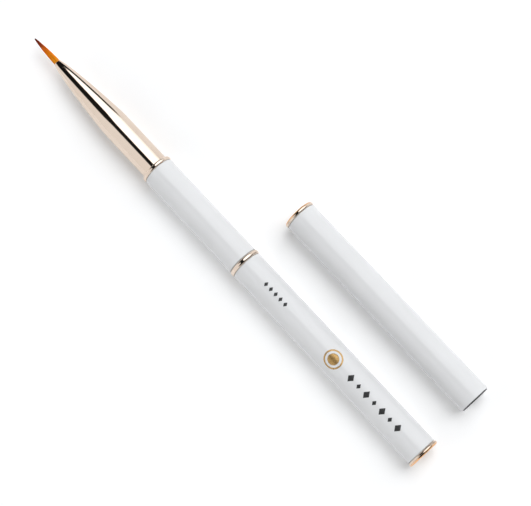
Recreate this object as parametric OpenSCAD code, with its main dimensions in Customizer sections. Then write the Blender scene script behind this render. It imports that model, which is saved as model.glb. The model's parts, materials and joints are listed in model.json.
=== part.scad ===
// Fine nail brush with a slide-on cap lying beside it.
// The brush lies along X with its hair towards -X. The cap lies parallel to it on the +Y side.

/* [Handle] */
// Outside diameter of the handle and cap tubes
handle_d = 10; // [9.8:0.1:12]
// Wall of every drawn tube
tube_wall = 0.3; // [0.25:0.01:0.35]
// Length of the front tube, which the fingers hold
front_tube_len = 37.75; // [34:0.05:45]
// Length of the rear tube
rear_tube_len = 74.65; // [50:0.05:90]

/* [Hair] */
// Length of hair outside the ferrule
hair_len = 10.7; // [6:0.1:14]
// Diameter of the hair where it leaves the ferrule
hair_d = 2.1; // [1.6:0.1:2.6]
// Length of hair root inside the ferrule
root_len = 9; // [8:0.5:10]

/* [Ferrule] */
// Diameter of the ferrule's straight collar
collar_d = 8.7; // [8.4:0.05:8.7]
// Wall of the ferrule at the collar
ferrule_wall = 0.3; // [0.2:0.05:0.4]
// Wall of the ferrule at its mouth
mouth_wall = 0.12; // [0.1:0.01:0.2]
// Length of the curved nose
nose_len = 26; // [25:0.5:34]
// Length of the straight collar
collar_len = 19.2; // [14:0.1:22]

/* [Rings] */
// Height of the mid ring and the end button above the tubes
big_ring_rise = 0.3; // [0.2:0.05:0.8]
// Height of the ferrule ring and the cap button above the tubes
small_ring_rise = 0.2; // [0.1:0.05:0.8]
// Width of the ferrule ring
ferrule_ring_w = 1.3; // [1.2:0.1:2.4]
// Width of the mid ring
mid_ring_w = 1.5; // [1.4:0.1:2.4]
// Thickness of the end button
end_button_w = 1.4; // [1.2:0.1:2]
// Thickness of the cap button
cap_button_w = 1.3; // [1.2:0.1:2]

/* [Push joint] */
// Diameter of the spigot's nose
spigot_d = 6.9; // [6:0.1:7.2]
// Length of the spigot's nose
spigot_len = 17; // [14:0.5:20]
// Clearance on the radius between sliding pieces
slide_gap = 0.05; // [0.03:0.01:0.08]
// Width of the seam between the front tube and the mid ring
seam = 0.05; // [0.05:0.01:0.3]

/* [Cap] */
// Length of the cap tube
cap_tube_len = 73.7; // [70:0.1:90]
// Length of the sleeve in the mouth
liner_len = 20; // [14:0.5:24]
// Height of the sleeve's rim above the tube's end
liner_lip = 0.3; // [0.2:0.05:0.5]
// Distance between the axes of the brush and the cap as they lie
cap_offset = 21.5; // [14:0.5:60]
// Distance of the cap's mouth ahead of the brush's back end
cap_setback = 1.85; // [0:0.05:20]

/* [Hidden] */
$fn = 96;

white = [0.90, 0.91, 0.92];
rose_gold = [0.86, 0.66, 0.54];
hair_colour = [0.80, 0.38, 0.06];
resin = [0.75, 0.62, 0.35];
moulding = [0.80, 0.80, 0.78];
dark_plastic = [0.22, 0.22, 0.23];
rubber = [0.08, 0.08, 0.08];
thread = [0.88, 0.84, 0.74];

// Gap on the radius of a glued or pressed joint
glue_gap = 0.03;
// Small overlap that keeps cuts and joins clean
bite = 0.5;

tube_r = handle_d / 2;
big_ring_r = tube_r + big_ring_rise;
small_ring_r = tube_r + small_ring_rise;
tube_bore_r = tube_r - tube_wall;
plug_r = tube_bore_r - glue_gap;
collar_r = collar_d / 2;
collar_bore_r = collar_r - ferrule_wall;
core_r = collar_bore_r - glue_gap;
hair_r = hair_d / 2;
spigot_r = spigot_d / 2;
socket_r = spigot_r + slide_gap;
cap_bore_r = collar_r + slide_gap;
neck_r = core_r;

// Stations along the brush, counted from the tip of the hair
mouth_s = hair_len;
collar_s = mouth_s + nose_len;
ferrule_ring_s = collar_s + collar_len;
front_tube_s = ferrule_ring_s + ferrule_ring_w;
mid_ring_s = front_tube_s + front_tube_len;
rear_tube_s = mid_ring_s + mid_ring_w;
end_button_s = rear_tube_s + rear_tube_len;
brush_len = end_button_s + end_button_w;

// Hair root, binding and resin
root_r = hair_r - 0.05;
binding_s = mouth_s + 6;
binding_w = 1.6;
binding_r = root_r + 0.3;
resin_s = mouth_s + 3.5;
resin_len = 10;
nose_steps = 24;
hair_steps = 16;
// How fast the hair thickens from its point; less is blunter
hair_swell = 0.85;

// Core of the ferrule
core_nose_s = collar_s - 6.5;
core_nose_r = core_r - 0.6;
core_tail_len = 11;

// Spigot and its rubber rings
spigot_root_len = 14;
spigot_lead = 1;
o_ring_wire_r = 0.5;
o_ring_r = socket_r - 0.02 - o_ring_wire_r;
groove_w = 1.3;
front_groove_s = mid_ring_s + 8;
rear_groove_s = mid_ring_s + 12;
socket_depth = spigot_len + 2;
socket_floor = 1.5;
neck_recess = 0.1;

// Plugs and the stems of the buttons
plug_len = 11;
cap_plug_len = 7.7;
stem_r = 1.5;
stem_len = 5;
stem_hole_len = 6;
button_round = 0.5;

// Stations along the cap, counted from its closed end
cap_tube_s = cap_button_w;
cap_mouth_s = cap_tube_s + cap_tube_len;

// Where the two pieces lie
brush_z = big_ring_r;
cap_z = small_ring_r;
brush_y = -(cap_offset + small_ring_r - big_ring_r) / 2;
cap_y = brush_y + cap_offset;
brush_x = -brush_len / 2;
cap_x = brush_len / 2 - cap_setback - cap_mouth_s;

// Stands children on the brush's axis at a station, with their own Z along +X
module on_brush(s) {
    translate([brush_x + s, brush_y, brush_z])
        rotate([0, 90, 0])
            children();
}

// Stands children on the cap's axis at a station, with their own Z along +X
module on_cap(s) {
    translate([cap_x + s, cap_y, cap_z])
        rotate([0, 90, 0])
            children();
}

module pipe(r_out, r_in, len) {
    difference() {
        cylinder(r = r_out, h = len);
        translate([0, 0, -bite])
            cylinder(r = r_in, h = len + 2 * bite);
    }
}

// Half section of a disc whose two outer edges are rounded, each by at most half its width
module round_edge_section(r, w, round_low, round_high) {
    square([r - round_low, round_low]);
    translate([0, round_low])
        square([r, w - round_low - round_high]);
    translate([0, w - round_high])
        square([r - round_high, round_high]);
    translate([r - round_low, round_low])
        circle(r = round_low);
    translate([r - round_high, w - round_high])
        circle(r = round_high);
}

// A ring that fills out its seat, with rounded outer edges
module trim_ring(r_out, r_in, w, round_low, round_high) {
    difference() {
        rotate_extrude()
            round_edge_section(r_out, w, round_low, round_high);
        translate([0, 0, -bite])
            cylinder(r = r_in, h = w + 2 * bite);
    }
}

// Radius of a nose that is a paraboloid, fullest behind the mouth and slowest where it meets the collar
function nose_r(z, r_mouth, r_collar) =
    sqrt(r_mouth * r_mouth + (r_collar * r_collar - r_mouth * r_mouth) * z / nose_len);

// Solid nose and collar, used for both faces of the shell, which runs on past its ends by a margin
module nose_and_collar(r_mouth, r_collar, margin) {
    len = nose_len + collar_len + margin;
    rotate_extrude()
        polygon(concat(
            [[0, -margin], [r_mouth, -margin]],
            [for (i = [0 : nose_steps])
                let (z = nose_len * i / nose_steps)
                    [nose_r(z, r_mouth, r_collar), z]],
            [[r_collar, len], [0, len]]
        ));
}

module bristle_tuft() {
    color(hair_colour)
        on_brush(0)
            rotate_extrude()
                polygon(concat(
                    [for (i = [0 : hair_steps])
                        [hair_r * pow(sin(90 * i / hair_steps), hair_swell), hair_len * i / hair_steps]],
                    [[root_r, hair_len], [root_r, hair_len + root_len], [0, hair_len + root_len]]
                ));
}

module tuft_binding() {
    color(thread)
        on_brush(binding_s)
            pipe(binding_r, root_r + glue_gap, binding_w);
}

module tuft_glue() {
    cone_z = resin_s - mouth_s;
    inner_r = hair_r + glue_gap;
    color(resin)
        on_brush(resin_s)
            difference() {
                rotate_extrude()
                    polygon(concat(
                        [[0, 0]],
                        [for (i = [0 : nose_steps])
                            let (z = resin_len * i / nose_steps)
                                [nose_r(cone_z + z, inner_r, collar_bore_r) - glue_gap, z]],
                        [[0, resin_len]]
                    ));
                translate([0, 0, -bite])
                    cylinder(r = root_r + glue_gap, h = root_len - cone_z + glue_gap + bite);
                translate([0, 0, binding_s - resin_s - glue_gap])
                    cylinder(r = binding_r + glue_gap, h = binding_w + 2 * glue_gap);
            }
}

module ferrule() {
    color(rose_gold)
        on_brush(mouth_s)
            difference() {
                nose_and_collar(hair_r + glue_gap + mouth_wall, collar_r, 0);
                nose_and_collar(hair_r + glue_gap, collar_bore_r, bite);
            }
}

module ferrule_core() {
    color(moulding) {
        on_brush(core_nose_s)
            cylinder(r1 = core_nose_r, r2 = core_r, h = collar_s - core_nose_s);
        on_brush(collar_s)
            cylinder(r = core_r, h = collar_len + ferrule_ring_w);
        on_brush(front_tube_s)
            cylinder(r = plug_r, h = core_tail_len);
    }
}

module ferrule_ring() {
    color(rose_gold)
        on_brush(ferrule_ring_s)
            trim_ring(small_ring_r, core_r + glue_gap, ferrule_ring_w, 0.6, 0.3);
}

module front_tube() {
    color(white)
        on_brush(front_tube_s)
            pipe(tube_r, tube_bore_r, front_tube_len - seam);
}

module groove(s) {
    on_brush(s - groove_w / 2)
        pipe(spigot_r + bite, o_ring_r - o_ring_wire_r - 0.02, groove_w);
}

module coupling_spigot() {
    color(moulding)
        difference() {
            union() {
                on_brush(mid_ring_s - seam - spigot_root_len)
                    cylinder(r = plug_r, h = spigot_root_len);
                on_brush(mid_ring_s - seam)
                    cylinder(r = spigot_r, h = spigot_len + seam - spigot_lead);
                on_brush(mid_ring_s + spigot_len - spigot_lead)
                    cylinder(r1 = spigot_r, r2 = spigot_r - spigot_lead / 2, h = spigot_lead);
            }
            groove(front_groove_s);
            groove(rear_groove_s);
        }
}

module o_ring(s) {
    color(rubber)
        on_brush(s)
            rotate_extrude()
                translate([o_ring_r, 0])
                    circle(r = o_ring_wire_r, $fn = 32);
}

module front_o_ring() {
    o_ring(front_groove_s);
}

module rear_o_ring() {
    o_ring(rear_groove_s);
}

module mid_ring() {
    color(rose_gold)
        on_brush(mid_ring_s)
            trim_ring(big_ring_r, neck_r + glue_gap, mid_ring_w, 0.6, 0.6);
}

module socket_bush() {
    color(moulding)
        difference() {
            union() {
                on_brush(mid_ring_s + neck_recess)
                    cylinder(r = neck_r, h = mid_ring_w - neck_recess);
                on_brush(rear_tube_s)
                    cylinder(r = plug_r, h = socket_depth + socket_floor - mid_ring_w);
            }
            on_brush(mid_ring_s)
                cylinder(r = socket_r, h = socket_depth);
        }
}

module rear_tube() {
    color(white)
        on_brush(rear_tube_s)
            pipe(tube_r, tube_bore_r, rear_tube_len);
}

// A plug with a blind hole in the face that its button closes
module button_plug(len) {
    difference() {
        cylinder(r = plug_r, h = len);
        translate([0, 0, -bite])
            cylinder(r = stem_r + glue_gap, h = stem_hole_len + bite);
    }
}

// A button that stands on its stem, with its outer face at the top
module button(r, w, inner_round) {
    rotate_extrude()
        round_edge_section(r, w, inner_round, button_round);
    translate([0, 0, -stem_len])
        cylinder(r = stem_r, h = stem_len + w / 2);
}

module end_plug() {
    color(moulding)
        on_brush(end_button_s)
            mirror([0, 0, 1])
                button_plug(plug_len);
}

module end_button() {
    color(rose_gold)
        on_brush(end_button_s)
            button(big_ring_r, end_button_w, 0.4);
}

module cap_tube() {
    color(white)
        on_cap(cap_tube_s)
            pipe(tube_r, tube_bore_r, cap_tube_len);
}

module cap_liner() {
    color(dark_plastic)
        on_cap(cap_mouth_s - liner_len)
            pipe(plug_r, cap_bore_r, liner_len + liner_lip);
}

module cap_plug() {
    color(moulding)
        on_cap(cap_tube_s)
            button_plug(cap_plug_len);
}

module cap_button() {
    color(rose_gold)
        on_cap(cap_tube_s)
            mirror([0, 0, 1])
                button(small_ring_r, cap_button_w, 0.2);
}

bristle_tuft();
tuft_binding();
tuft_glue();
ferrule();
ferrule_core();
ferrule_ring();
front_tube();
coupling_spigot();
front_o_ring();
rear_o_ring();
mid_ring();
socket_bush();
rear_tube();
end_plug();
end_button();
cap_tube();
cap_liner();
cap_plug();
cap_button();
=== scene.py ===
"""Looks of the nail brush and its cap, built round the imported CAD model. Lengths are in metres."""
import json
import math
import random

import bmesh
import bpy
from mathutils import Matrix, Vector


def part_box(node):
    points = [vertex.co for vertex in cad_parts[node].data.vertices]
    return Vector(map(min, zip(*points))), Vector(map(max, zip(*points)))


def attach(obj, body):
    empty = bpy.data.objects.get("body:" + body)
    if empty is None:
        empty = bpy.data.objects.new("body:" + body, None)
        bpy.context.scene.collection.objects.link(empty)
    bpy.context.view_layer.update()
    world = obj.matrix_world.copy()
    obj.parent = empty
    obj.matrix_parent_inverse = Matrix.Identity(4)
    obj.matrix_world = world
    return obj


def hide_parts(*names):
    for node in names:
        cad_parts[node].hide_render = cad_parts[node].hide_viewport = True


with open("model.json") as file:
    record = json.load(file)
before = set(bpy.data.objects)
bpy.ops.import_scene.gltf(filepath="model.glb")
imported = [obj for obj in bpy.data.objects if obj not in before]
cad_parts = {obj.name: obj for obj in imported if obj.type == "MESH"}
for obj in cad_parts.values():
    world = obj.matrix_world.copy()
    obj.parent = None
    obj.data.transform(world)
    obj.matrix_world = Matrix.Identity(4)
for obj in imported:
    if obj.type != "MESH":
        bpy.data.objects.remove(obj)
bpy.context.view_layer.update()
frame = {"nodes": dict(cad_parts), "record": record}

MM = 0.001
# Sides of a turned piece
AROUND = 160
GOLDEN_ANGLE = math.radians(137.508)

# Shapes that a node's box doesn't give, as the CAD has them
NOSE_LEN = 26 * MM
MOUTH_WALL = 0.12 * MM
FERRULE_WALL = 0.3 * MM
TUBE_WALL = 0.3 * MM
GLUE_GAP = 0.03 * MM
HAIR_SWELL = 0.85

# Share of the nose's length, on both sides of its end, over which it eases into the collar
NOSE_EASE = 0.08
# Shadow line left between a tube and the ring or button that it meets
JOINT_LINE = 0.08 * MM
STEM_R = 1.5 * MM
DOME = 0.12 * MM

# Printed marks: distances along the rear tube from its front, and sizes
SPOT_AT = 38.4 * MM
SPOT_R = 1.75 * MM
HOOP_R = 2.95 * MM
HOOP_LINE = 0.5 * MM
LARGE_ROW_AT = 45.8 * MM
LARGE_ROW_STEP = 3.25 * MM
SMALL_ROW_AT = 9.0 * MM
SMALL_ROW_STEP = 2.05 * MM
INK_THICK = 0.012 * MM
INK_SUNK = 0.02 * MM
# Half the width that a mark keeps where its outline comes to a point
TINY = 0.01 * MM


# ---------------------------------------------------------------- places, all read from the frame

def middle(node):
    """Centre of a node's box, which for a round node is on its axis."""
    low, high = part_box(node)
    return (low + high) / 2


def span(node):
    """First and last X of a node."""
    low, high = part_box(node)
    return low.x, high.x


def radius(node):
    """Outside radius of a node that is round about X."""
    low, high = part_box(node)
    return (high.z - low.z) / 2


def mount(name):
    return next(m for m in frame["record"]["mounts"] if m["name"] == name)


# ---------------------------------------------------------------- lathe work

def filleted(corners, steps=6, hold=0.12 * MM):
    """Rounds the corners of a closed outline of (x, r, fillet) and holds its straight runs flat."""
    outline = []
    for i, (x, r, fillet) in enumerate(corners):
        here = Vector((x, r))
        back = Vector(corners[i - 1][:2]) - here
        ahead = Vector(corners[(i + 1) % len(corners)][:2]) - here
        if fillet <= 0 or r <= 0:
            outline.append(here)
            continue
        half = back.angle(ahead) / 2
        cut = min(fillet / math.tan(half), 0.49 * back.length, 0.49 * ahead.length)
        towards_back, towards_ahead = back.normalized(), ahead.normalized()
        centre = here + (towards_back + towards_ahead).normalized() * (cut / math.cos(half))
        outline.append(here + towards_back * (cut + min(hold, 0.5 * (back.length - cut))))
        start = here + towards_back * cut - centre
        end = here + towards_ahead * cut - centre
        sweep = start.angle(end)
        for k in range(steps + 1):
            t = k / steps
            outline.append(centre + (
                start * math.sin((1 - t) * sweep) + end * math.sin(t * sweep)) / math.sin(sweep))
        outline.append(here + towards_ahead * (cut + min(hold, 0.5 * (ahead.length - cut))))
    return [(p.x, p.y) for p in outline]


def lathe(name, outline, axis, around=AROUND):
    """Turns a closed outline of (x, r) about the line through axis that runs along X."""
    bm = bmesh.new()
    rings = []
    for x, r in outline:
        if r < 1e-9:
            rings.append([bm.verts.new((x, axis.y, axis.z))])
            continue
        angles = [2 * math.pi * k / around for k in range(around)]
        rings.append([bm.verts.new((x, axis.y + r * math.sin(a), axis.z + r * math.cos(a))) for a in angles])
    for i, ring in enumerate(rings):
        other = rings[(i + 1) % len(rings)]
        if len(ring) == 1 and len(other) == 1:
            continue
        for k in range(around):
            n = (k + 1) % around
            if len(ring) == 1:
                bm.faces.new((ring[0], other[k], other[n]))
            elif len(other) == 1:
                bm.faces.new((ring[k], ring[n], other[0]))
            else:
                bm.faces.new((ring[k], ring[n], other[n], other[k]))
    return finished_mesh(name, bm)


def finished_mesh(name, bm):
    """Turns a bmesh into a smooth-shaded object whose faces look outwards."""
    bmesh.ops.recalc_face_normals(bm, faces=bm.faces)
    mesh = bpy.data.meshes.new(name)
    bm.to_mesh(mesh)
    bm.free()
    mesh.polygons.foreach_set("use_smooth", [True] * len(mesh.polygons))
    piece = bpy.data.objects.new(name, mesh)
    bpy.context.scene.collection.objects.link(piece)
    return piece


def dress(piece, body, material, slot, *nodes):
    """Gives a piece its material and body, and lets it stand for CAD nodes."""
    piece.data.materials.append(material)
    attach(piece, body)
    if nodes:
        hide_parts(*nodes)
    return piece


# ---------------------------------------------------------------- shader graphs

class Graph:
    """A short way to write a node tree."""

    def __init__(self, tree):
        self.tree = tree

    def add(self, kind, inputs=(), **settings):
        node = self.tree.nodes.new("ShaderNode" + kind)
        for key, value in settings.items():
            setattr(node, key, value)
        for key, value in dict(inputs).items():
            self.feed(node.inputs[key], value)
        return node

    def feed(self, socket, value):
        if isinstance(value, bpy.types.NodeSocket):
            self.tree.links.new(value, socket)
        else:
            socket.default_value = value

    def maths(self, operation, a, b=0.0):
        return self.add("Math", {0: a, 1: b}, operation=operation).outputs["Value"]

    def remap(self, value, low, high, out_low=0.0, out_high=1.0, curve="LINEAR"):
        inputs = {"Value": value, "From Min": low, "From Max": high, "To Min": out_low, "To Max": out_high}
        return self.add("MapRange", inputs, interpolation_type=curve).outputs["Result"]

    def noise(self, vector, scale, detail=4, roughness=0.5):
        inputs = {"Vector": vector, "Scale": scale, "Detail": detail, "Roughness": roughness}
        return self.add("TexNoise", inputs).outputs["Fac"]

    def ramp(self, value, *stops):
        node = self.add("ValToRGB", {"Fac": value})
        elements = node.color_ramp.elements
        while len(elements) < len(stops):
            elements.new(0.5)
        for element, (position, colour) in zip(elements, stops):
            element.position = position
            element.color = (*colour, 1)
        return node.outputs["Color"]


class Surface(Graph):
    """A material on the Principled shader."""

    def __init__(self, name):
        self.material = bpy.data.materials.new(name)
        self.material.use_nodes = True
        super().__init__(self.material.node_tree)
        self.shader = self.tree.nodes["Principled BSDF"]
        self.place = self.add("TexCoord").outputs["Object"]
        self.along = self.add("SeparateXYZ", {"Vector": self.place}).outputs["X"]

    def set(self, inputs):
        for key, value in inputs.items():
            self.feed(self.shader.inputs[key], value)

    def stretched(self, along, across):
        """Object coordinates scaled along the brush and across it."""
        return self.add("Mapping", {"Vector": self.place, "Scale": (along, across, across)}).outputs["Vector"]

    def bump(self, height, depth):
        self.set({"Normal": self.add("Bump", {"Height": height, "Distance": depth}).outputs["Normal"]})


# ---------------------------------------------------------------- materials

def white_lacquer():
    """Lacquer on drawn tube, with a faint orange peel, whose gloss dulls where it is seen edge on."""
    m = Surface("white_lacquer")
    tone = m.noise(m.place, 90, 3)
    edge_on = m.add("LayerWeight", {"Blend": 0.5}).outputs["Facing"]
    m.set({
        "Base Color": m.ramp(tone, (0.3, (0.75, 0.752, 0.755)), (0.7, (0.77, 0.772, 0.775))),
        "Roughness": m.remap(m.noise(m.place, 700), 0.3, 0.7, 0.08, 0.13),
        "IOR": 1.45,
        "Specular IOR Level": m.remap(edge_on, 0.35, 0.7, 0.5, 0.03),
    })
    m.bump(m.noise(m.place, 350, 1), 0.0003 * MM)
    return m.material


def rose_gold(name="rose_gold", warm_reflection_x=None, plain_x=None):
    """Polished rose gold plate with hairline polishing marks round the piece.

    Where two stations are given, a painted warm reflection, orange-brown, takes over the plate from the plain
    station to the other one.
    """
    m = Surface(name)
    tone = m.noise(m.stretched(1, 0.2), 250, 3)
    marks = m.noise(m.stretched(60, 0.4), 60, 5, 0.7)
    plate = m.ramp(tone, (0.3, (0.75, 0.618, 0.512)), (0.7, (0.78, 0.652, 0.545)))
    if warm_reflection_x is not None:
        # The orange-brown mixed in here is a painted warm reflection on the rounded edge of a button's face.
        painted_reflection_share = m.remap(m.along, plain_x, warm_reflection_x, curve="SMOOTHSTEP")
        painted_warm_reflection = m.ramp(tone, (0.3, (0.76, 0.42, 0.20)), (0.7, (0.80, 0.47, 0.24)))
        plate = m.add("Mix", {"Factor": painted_reflection_share, 6: plate, 7: painted_warm_reflection}, data_type="RGBA").outputs[2]
    m.set({"Base Color": plate, "Roughness": m.remap(marks, 0.3, 0.7, 0.05, 0.10), "Metallic": 1.0})
    m.bump(marks, 0.0004 * MM)
    return m.material


def hair(tip_x, mouth_x):
    """Filaments, dark red-brown at the tip and orange at the ferrule, each a little different."""
    m = Surface("hair")
    waver = m.remap(m.noise(m.stretched(0.25, 3), 2600, 2), 0.3, 0.7, -0.05, 0.05)
    share = m.maths("ADD", waver, m.remap(m.along, tip_x, mouth_x))
    base = m.ramp(
        share,
        (0.0, (0.10, 0.016, 0.010)),
        (0.14, (0.19, 0.016, 0.004)),
        (0.3, (0.42, 0.06, 0.010)),
        (0.45, (0.74, 0.155, 0.004)),
        (0.7, (0.85, 0.265, 0.002)),
        (1.0, (0.86, 0.33, 0.006)))
    strand = m.add("Attribute", attribute_name="strand_tone").outputs["Fac"]
    toned = m.add("VectorMath", {0: base, "Scale": m.remap(strand, 0, 1, 0.7, 1.25)}, operation="SCALE")
    m.set({"Base Color": toned.outputs["Vector"], "Roughness": 0.45, "IOR": 1.5, "Specular IOR Level": 0.15})
    m.bump(m.noise(m.stretched(0.4, 6), 6000, 2), 0.003 * MM)
    return m.material


def moulded(name, dark, light, rough, grain=1500):
    """Moulded plastic or rubber with a fine grain."""
    m = Surface(name)
    texture = m.noise(m.place, grain, 4, 0.6)
    m.set({
        "Base Color": m.ramp(m.noise(m.place, 200, 3), (0.3, dark), (0.7, light)),
        "Roughness": m.remap(texture, 0.3, 0.7, rough - 0.06, rough + 0.06),
        "IOR": 1.48,
    })
    m.bump(texture, 0.01 * MM)
    return m.material


def resin():
    """Cast amber resin."""
    m = Surface("resin")
    m.set({
        "Base Color": m.ramp(m.noise(m.place, 500, 3), (0.3, (0.50, 0.30, 0.08)), (0.7, (0.62, 0.40, 0.13))),
        "Roughness": 0.12,
        "IOR": 1.54,
    })
    m.bump(m.noise(m.place, 400, 2), 0.01 * MM)
    return m.material


def thread():
    """Waxed thread wound round and round."""
    m = Surface("thread")
    turns = m.add("TexWave", {"Vector": m.place, "Scale": 900, "Distortion": 0.6}, bands_direction="X")
    m.set({
        "Base Color": m.ramp(turns.outputs["Fac"], (0, (0.42, 0.38, 0.28)), (1, (0.78, 0.72, 0.58))),
        "Roughness": 0.7,
    })
    m.bump(turns.outputs["Fac"], 0.06 * MM)
    return m.material


def ink(name, dark, light, rough, metallic=0.0):
    """Printed ink or foil with a slightly broken surface."""
    m = Surface(name)
    grain = m.noise(m.place, 4000, 3, 0.6)
    m.set({
        "Base Color": m.ramp(grain, (0.35, dark), (0.65, light)),
        "Roughness": m.remap(grain, 0.3, 0.7, rough - 0.08, rough + 0.08),
        "Metallic": metallic,
    })
    return m.material


def light_table():
    """White acrylic table with a faint light under it."""
    m = Surface("table_white")
    tone = m.ramp(m.noise(m.place, 60, 3), (0.3, (0.895, 0.895, 0.895)), (0.7, (0.915, 0.915, 0.915)))
    m.set({
        "Base Color": tone,
        "Roughness": 0.9,
        "Specular IOR Level": 0.0,
        "Emission Color": tone,
        "Emission Strength": 0.185,
    })
    return m.material


# ---------------------------------------------------------------- camera, light and table

def make_camera():
    """Looks almost straight down from above the brush's back end, leaning a little along it."""
    tilt = math.radians(10)
    roll = math.radians(46.77)
    place = Vector((91.0, -4.2, 456.3)) * MM
    forward = Vector((-math.sin(tilt), 0, -math.cos(tilt)))
    along = (Vector((1, 0, 0)) - forward * forward.x).normalized()
    across = forward.cross(along)
    right = along * math.cos(roll) - across * math.sin(roll)
    up = -along * math.sin(roll) - across * math.cos(roll)
    data = bpy.data.cameras.new("camera")
    data.sensor_width = 36
    data.lens = 105.1
    data.clip_start = 0.01
    camera = bpy.data.objects.new("camera", data)
    camera.matrix_world = Matrix.Translation(place) @ Matrix((right, up, -forward)).transposed().to_4x4()
    bpy.context.scene.collection.objects.link(camera)
    bpy.context.scene.camera = camera


def make_world():
    """A pale tent, a large oval soft box over the cap's side, and dark studio round that box.

    Lean is the angle in degrees from straight up towards +Y, and reach is the angle towards +X.
    """
    tent_strength, dark_strength = 0.98, 0.012
    # The box is bright up to the first lean and fades to the second
    glow_from, glow_to = 54.0, 80.0
    box_near_strength, box_far_strength = 1.98, 1.1
    box_lean, box_half_lean = 43.0, 37.0
    box_reach, box_half_reach = -5.0, 32.5
    box_soft, dark_soft, end_soft = 0.05, 2.0, 8.0
    # The dark starts on the -Y side at this lean and bows away from it with reach
    dark_near, bow_reach, bow_rate, bow_most = -18.0, -10.0, 0.03, 30.0
    # The dark stops above the horizon beyond the box's top and goes down to it on both sides
    top_reach, side_reach = 13.0, 23.0
    dark_over_top, dark_beside = 77.0, 93.0
    dark_most_reach = 75.0

    world = bpy.data.worlds.new("studio")
    bpy.context.scene.world = world
    world.use_nodes = True
    g = Graph(world.node_tree)
    place = g.add("TexCoord").outputs["Generated"]
    x, y, z = g.add("SeparateXYZ", {"Vector": place}).outputs
    degree = math.degrees(1)
    lean = g.maths("MULTIPLY", g.maths("ARCTAN2", y, z), degree)
    reach = g.maths("MULTIPLY", g.maths("ARCSINE", x), degree)

    def rise(value, edge, soft):
        """0 below the edge and 1 above it."""
        return g.remap(g.maths("SUBTRACT", value, edge), -soft, soft, curve="SMOOTHSTEP")

    def fall(value, edge, soft):
        return g.maths("SUBTRACT", 1.0, rise(value, edge, soft))

    def squared(value):
        return g.maths("MULTIPLY", value, value)

    high = g.maths("DIVIDE", g.maths("SUBTRACT", lean, box_lean), box_half_lean)
    wide = g.maths("DIVIDE", g.maths("SUBTRACT", reach, box_reach), box_half_reach)
    out = g.maths("SQRT", g.maths("ADD", squared(high), squared(wide)))
    box = fall(out, 1.0, box_soft)
    bow = g.maths("MULTIPLY", squared(g.maths("SUBTRACT", reach, bow_reach)), bow_rate)
    near_edge = g.maths("SUBTRACT", dark_near, g.maths("MINIMUM", bow, bow_most))
    aside = g.maths("ABSOLUTE", g.maths("SUBTRACT", reach, box_reach))
    far_edge = g.remap(aside, top_reach, side_reach, dark_over_top, dark_beside)
    dark = g.maths("SUBTRACT", rise(lean, near_edge, dark_soft), rise(lean, far_edge, dark_soft))
    dark = g.maths("MULTIPLY", dark, fall(g.maths("ABSOLUTE", reach), dark_most_reach, end_soft))
    tent = g.remap(dark, 0, 1, tent_strength, dark_strength)
    glow = g.remap(lean, glow_from, glow_to, box_near_strength, box_far_strength)
    strength = g.add("Mix", {"Factor": box, 2: tent, 3: glow}, data_type="FLOAT").outputs["Result"]
    background = g.tree.nodes["Background"]
    g.feed(background.inputs["Strength"], strength)
    g.feed(background.inputs["Color"], g.ramp(box, (0, (0.99, 1.0, 1.01)), (1, (0.98, 1.0, 1.025))))


def make_lamp():
    """A broad lamp on the cap's side that lays the shadows towards -Y and isn't seen in the gloss."""
    lamp = bpy.data.lights.new("lamp", "SUN")
    lamp.energy = 1.0
    lamp.angle = math.radians(36)
    lamp_object = bpy.data.objects.new("lamp", lamp)
    lamp_object.rotation_euler = (math.radians(-27), 0, 0)
    lamp_object.visible_glossy = False
    bpy.context.scene.collection.objects.link(lamp_object)


def make_table():
    half = 6
    corners = [(-half, -half, 0), (half, -half, 0), (half, half, 0), (-half, half, 0)]
    mesh = bpy.data.meshes.new("table")
    mesh.from_pydata(corners, [], [(0, 1, 2, 3)])
    mesh.materials.append(light_table())
    table = bpy.data.objects.new("table", mesh)
    bpy.context.scene.collection.objects.link(table)


# ---------------------------------------------------------------- the pieces

def tube(name, node, lines=2):
    """A drawn tube whose cut ends are just broken, with joint lines at its first end or at both."""
    start, end = span(node)
    start += JOINT_LINE
    if lines == 2:
        end -= JOINT_LINE
    outer = radius(node)
    inner = outer - TUBE_WALL
    outside, inside = 0.12 * MM, 0.05 * MM
    corners = [(start, outer, outside), (end, outer, outside), (end, inner, inside), (start, inner, inside)]
    return lathe(name, filleted(corners), middle(node))


def trim_ring(name, node, seat_r, round_front, round_back):
    """A turned ring on its seat."""
    start, end = span(node)
    outer = radius(node)
    corners = [(start, outer, round_front), (end, outer, round_back), (end, seat_r, 0), (start, seat_r, 0)]
    return lathe(name, filleted(corners, 10, 0.03 * MM), middle(node))


def button(name, node, width, round_in, round_out, outward):
    """A turned, slightly domed disc on a stem, whose face looks towards +X or -X as outward is 1 or -1."""
    start, end = span(node)
    face, stem_end = (end, start) if outward > 0 else (start, end)
    outer = radius(node)
    inner = face - outward * width
    corners = [
        (face, 0, 0), (face - outward * DOME, outer, round_out), (inner, outer, round_in),
        (inner, STEM_R, 0), (stem_end, STEM_R, 0.2 * MM), (stem_end, 0, 0),
    ]
    return lathe(name, filleted(corners, 10, 0.05 * MM), middle(node))


def nose_r(x, mouth_r, collar_r):
    """Radius of a paraboloid nose that eases into the collar over a short stretch."""
    share = x / NOSE_LEN
    if share > 1 - NOSE_EASE:
        share -= (share - 1 + NOSE_EASE) ** 2 / (4 * NOSE_EASE)
    return math.sqrt(mouth_r ** 2 + (collar_r ** 2 - mouth_r ** 2) * min(1.0, share))


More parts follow.
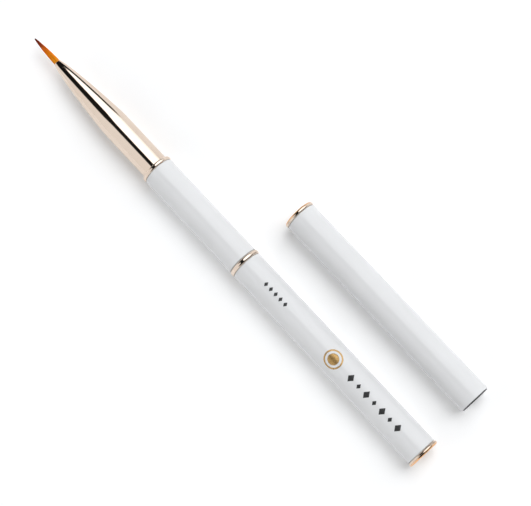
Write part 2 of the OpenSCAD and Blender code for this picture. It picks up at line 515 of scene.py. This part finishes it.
def ferrule():
    """A thin shell: curved nose, straight collar and a softly rolled mouth."""
    start, end = span("ferrule")
    collar_r = radius("ferrule")
    bore_r = collar_r - FERRULE_WALL
    mouth_in = radius("bristle_tuft") + GLUE_GAP
    mouth_out = mouth_in + MOUTH_WALL
    chamfer = 0.04 * MM
    lip_r = MOUTH_WALL / 2
    steps, crowding = 64, 1.6
    eased_len = NOSE_LEN * (1 + NOSE_EASE)
    stations = [eased_len * (i / steps) ** crowding for i in range(steps + 1)]
    straight = [start + eased_len + (end - start - eased_len) * k / 8 for k in range(1, 8)]
    outline = []
    for k in range(1, 8):
        a = math.pi * k / 8
        outline.append((start + lip_r - lip_r * math.sin(a), mouth_in + lip_r - lip_r * math.cos(a)))
    outline += [(start + x, nose_r(x, mouth_out, collar_r)) for x in stations if x > lip_r]
    outline += [(x, collar_r) for x in straight]
    # Close stations keep the shading of the collar straight up to its chamfer
    outline += [(end - 0.3 * MM, collar_r), (end - 0.06 * MM, collar_r), (end - chamfer, collar_r)]
    outline += [(end, collar_r - chamfer), (end, bore_r)]
    outline += [(x, bore_r) for x in reversed(straight)]
    outline += [(start + x, nose_r(x, mouth_in, bore_r)) for x in reversed(stations) if x > lip_r]
    return lathe("ferrule_shell", outline, middle("ferrule"))


def liner():
    """Dark sleeve in the cap's mouth, with a rounded rim that stands just proud."""
    start, end = span("cap_liner")
    outer = radius("cap_liner")
    bore = mount("cap_bore")["dims"]["r_mm"] * MM
    corners = [(start, outer, 0), (end, outer, 0.1 * MM), (end, bore, 0.1 * MM), (start, bore, 0.05 * MM)]
    return lathe("cap_sleeve", filleted(corners), middle("cap_liner"))


def tuft(tip, mouth):
    """Several hundred tapering filaments laid to a point round a solid heart."""
    axis = middle("bristle_tuft")
    hair_r = radius("bristle_tuft")
    length = mouth - tip
    root = mouth + 2.5 * MM
    count, sides, rings = 430, 6, 16
    thick, fine, blunt = 0.046 * MM, 0.018 * MM, 0.2 * MM
    stagger = 0.06
    most_sway, waves = 0.012 * MM, 900
    heart_from, heart_share, heart_inset, heart_sides, heart_tone = 0.6 * MM, 0.9, 0.05 * MM, 24, 0.2
    dice = random.Random(11)
    bm = bmesh.new()
    tones = []

    def envelope(x):
        share = min(1.0, max(0.0, (x - tip) / length))
        return blunt + (hair_r - blunt) * math.sin(math.pi / 2 * share) ** HAIR_SWELL

    def hoop_of(x, away_y, away_z, r, turns, tone):
        verts = []
        for j in range(turns):
            a = 2 * math.pi * j / turns
            y, z = away_y + r * math.sin(a), away_z + r * math.cos(a)
            verts.append(bm.verts.new((x, axis.y + y, axis.z + z)))
            tones.append(tone)
        return verts

    def skin(hoops):
        bm.faces.new(hoops[0])
        bm.faces.new(hoops[-1][::-1])
        for a, b in zip(hoops, hoops[1:]):
            for j in range(len(a)):
                n = (j + 1) % len(a)
                bm.faces.new((a[j], a[n], b[n], b[j]))

    for i in range(count):
        out = math.sqrt((i + 0.5) / count)
        angle = i * GOLDEN_ANGLE
        first = tip + stagger * out * dice.random() * length
        sway = dice.uniform(-most_sway, most_sway)
        phase = dice.uniform(0, 2 * math.pi)
        tone = dice.random()
        hoops = []
        for k in range(rings + 1):
            t = (k / rings) ** 1.3
            x = first + t * (root - first)
            r = fine + (thick - fine) * min(1.0, 1.8 * t)
            bend = sway * math.sin(phase + waves * (x - tip)) * min(1.0, 2 * t)
            away = out * max(0.0, envelope(x) - r) + bend
            hoops.append(hoop_of(x, away * math.sin(angle), away * math.cos(angle), r, sides, tone))
        skin(hoops)
    heart_tip = tip + heart_from
    hoops = []
    for k in range(rings + 1):
        x = heart_tip + (root - heart_tip) * k / rings
        r = heart_share * envelope(x) - heart_inset
        hoops.append(hoop_of(x, 0, 0, r, heart_sides, heart_tone))
    skin(hoops)
    piece = finished_mesh("hair_filaments", bm)
    layer = piece.data.attributes.new("strand_tone", "FLOAT", "POINT")
    layer.data.foreach_set("value", tones)
    return piece


# ---------------------------------------------------------------- printed marks

def wrapped(bm, sections, centre_x, turn, axis, r):
    """A thin closed patch wrapped on a tube. Each section is (x, low, high), measured round the surface."""
    across = 8
    layers = []
    for level in (r + INK_THICK, r - INK_SUNK):
        rows = []
        for x, low, high in sections:
            angles = [turn + (low + (high - low) * j / across) / r for j in range(across + 1)]
            circle = [(axis.y + level * math.sin(a), axis.z + level * math.cos(a)) for a in angles]
            rows.append([bm.verts.new((centre_x + x, y, z)) for y, z in circle])
        layers.append(rows)
    top, bottom = layers
    last = len(sections) - 1
    for i in range(last):
        for j in range(across):
            bm.faces.new((top[i][j], top[i + 1][j], top[i + 1][j + 1], top[i][j + 1]))
            bm.faces.new((bottom[i][j], bottom[i][j + 1], bottom[i + 1][j + 1], bottom[i + 1][j]))
        for j in (0, across):
            bm.faces.new((top[i][j], bottom[i][j], bottom[i + 1][j], top[i + 1][j]))
    for i in (0, last):
        for j in range(across):
            bm.faces.new((top[i][j], top[i][j + 1], bottom[i][j + 1], bottom[i][j]))


def lozenge(half_x, half_round):
    """Sections of a lozenge."""
    steps = 8
    sections = []
    for k in range(steps + 1):
        x = half_x * (2 * k / steps - 1)
        high = max(TINY, half_round * (1 - abs(x) / half_x))
        sections.append((x, -high, high))
    return sections


def disc(r):
    """Sections of a round spot."""
    steps = 24
    sections = []
    for k in range(steps + 1):
        a = math.pi * k / steps
        high = max(TINY, r * math.sin(a))
        sections.append((-r * math.cos(a), -high, high))
    return sections


def hoop(r, line, side):
    """Sections of half a ring of a given line width. side is 1 for the upper half and -1 for the lower."""
    steps = 36
    sections = []
    for k in range(steps + 1):
        x = -r * math.cos(math.pi * k / steps)
        high = max(TINY, math.sqrt(max(0.0, r * r - x * x)))
        low = math.sqrt(max(0.0, (r - line) ** 2 - x * x))
        sections.append((x, *sorted((side * low, side * high))))
    return sections


def printed_marks(dark_ink, gold_foil):
    """A gold spot in a ring, a row of dark lozenges behind it and a row of small ones ahead of it."""
    axis, r = middle("rear_tube"), radius("rear_tube")
    start = span("rear_tube")[0]
    turn, small_turn = math.radians(-3), math.radians(5)
    foil = bmesh.new()
    wrapped(foil, disc(SPOT_R), start + SPOT_AT, turn, axis, r)
    for side in (1, -1):
        wrapped(foil, hoop(HOOP_R, HOOP_LINE, side), start + SPOT_AT, turn, axis, r)
    dress(finished_mesh("gold_mark", foil), "rear_handle", gold_foil, "rose_gold")
    dark = bmesh.new()
    for k in range(7):
        size = (1.4 if k % 2 == 0 else 0.9) * MM
        wrapped(dark, lozenge(0.75 * size, size), start + LARGE_ROW_AT + LARGE_ROW_STEP * k, turn, axis, r)
    for k in range(5):
        place = start + SMALL_ROW_AT + SMALL_ROW_STEP * k
        wrapped(dark, lozenge(0.6 * MM, 0.85 * MM), place, small_turn, axis, r)
    dress(finished_mesh("dark_marks", dark), "rear_handle", dark_ink, "dark_plastic")


# ---------------------------------------------------------------- putting it together

make_camera()
make_world()
make_lamp()
make_table()

lacquer = white_lacquer()
gold = rose_gold()
plastic = moulded("moulding", (0.62, 0.62, 0.60), (0.70, 0.70, 0.68), 0.45)
dark_plastic = moulded("dark_plastic", (0.030, 0.030, 0.033), (0.045, 0.045, 0.048), 0.38)
rubber = moulded("rubber", (0.018, 0.018, 0.018), (0.03, 0.03, 0.03), 0.6, 2500)

dress(tube("front_tube_skin", "front_tube"), "front_section", lacquer, "white_lacquer", "front_tube")
dress(tube("rear_tube_skin", "rear_tube"), "rear_handle", lacquer, "white_lacquer", "rear_tube")
dress(tube("cap_tube_skin", "cap_tube", 1), "cap", lacquer, "white_lacquer", "cap_tube")

ring_seat_r = radius("ferrule") - FERRULE_WALL
ring = trim_ring("ferrule_ring_turned", "ferrule_ring", ring_seat_r, 0.63 * MM, 0.45 * MM)
dress(ring, "front_section", gold, "rose_gold", "ferrule_ring")
ring = trim_ring("mid_ring_turned", "mid_ring", ring_seat_r, 0.73 * MM, 0.73 * MM)
dress(ring, "rear_handle", gold, "rose_gold", "mid_ring")

# Each button's body, the way it faces, its width, its inner and outer rounding, and how far in from its
# face the painted warm reflection and the plain plate lie
buttons = {
    "end_button": ("rear_handle", 1, 1.4 * MM, 0.6 * MM, 0.65 * MM, 0.35 * MM, 0.95 * MM),
    "cap_button": ("cap", -1, 1.3 * MM, 0.45 * MM, 0.63 * MM, 0.35 * MM, 0.85 * MM),
}
for node, (body, outward, width, round_in, round_out, warm_reflection_in, plain_in) in buttons.items():
    face_x = span(node)[1 if outward > 0 else 0]
    # Each button's gold gets a painted warm reflection, orange-brown, towards its face.
    gold_with_painted_reflection = rose_gold(node + "_gold", face_x - outward * warm_reflection_in, face_x - outward * plain_in)
    piece = button(node + "_turned", node, width, round_in, round_out, outward)
    dress(piece, body, gold_with_painted_reflection, "rose_gold", node)

dress(ferrule(), "front_section", gold, "rose_gold", "ferrule")
dress(liner(), "cap", dark_plastic, "dark_plastic", "cap_liner")

tip_x, mouth_x = span("bristle_tuft")[0], span("ferrule")[0]
dress(tuft(tip_x, mouth_x), "front_section", hair(tip_x, mouth_x), "hair", "bristle_tuft")

printed_marks(
    ink("dark_ink", (0.02, 0.02, 0.02), (0.035, 0.035, 0.035), 0.35),
    ink("gold_foil", (0.42, 0.25, 0.08), (0.56, 0.35, 0.13), 0.3, 0.6))

kept = {
    "tuft_binding": thread(), "tuft_glue": resin(), "ferrule_core": plastic, "coupling_spigot": plastic,
    "front_o_ring": rubber, "rear_o_ring": rubber, "socket_bush": plastic, "end_plug": plastic,
    "cap_plug": plastic,
}
for node, material in kept.items():
    slots = frame["nodes"][node].data.materials
    slots.clear()
    slots.append(material)

bpy.context.scene.view_settings.view_transform = "Standard"
bpy.context.scene.view_settings.look = "None"
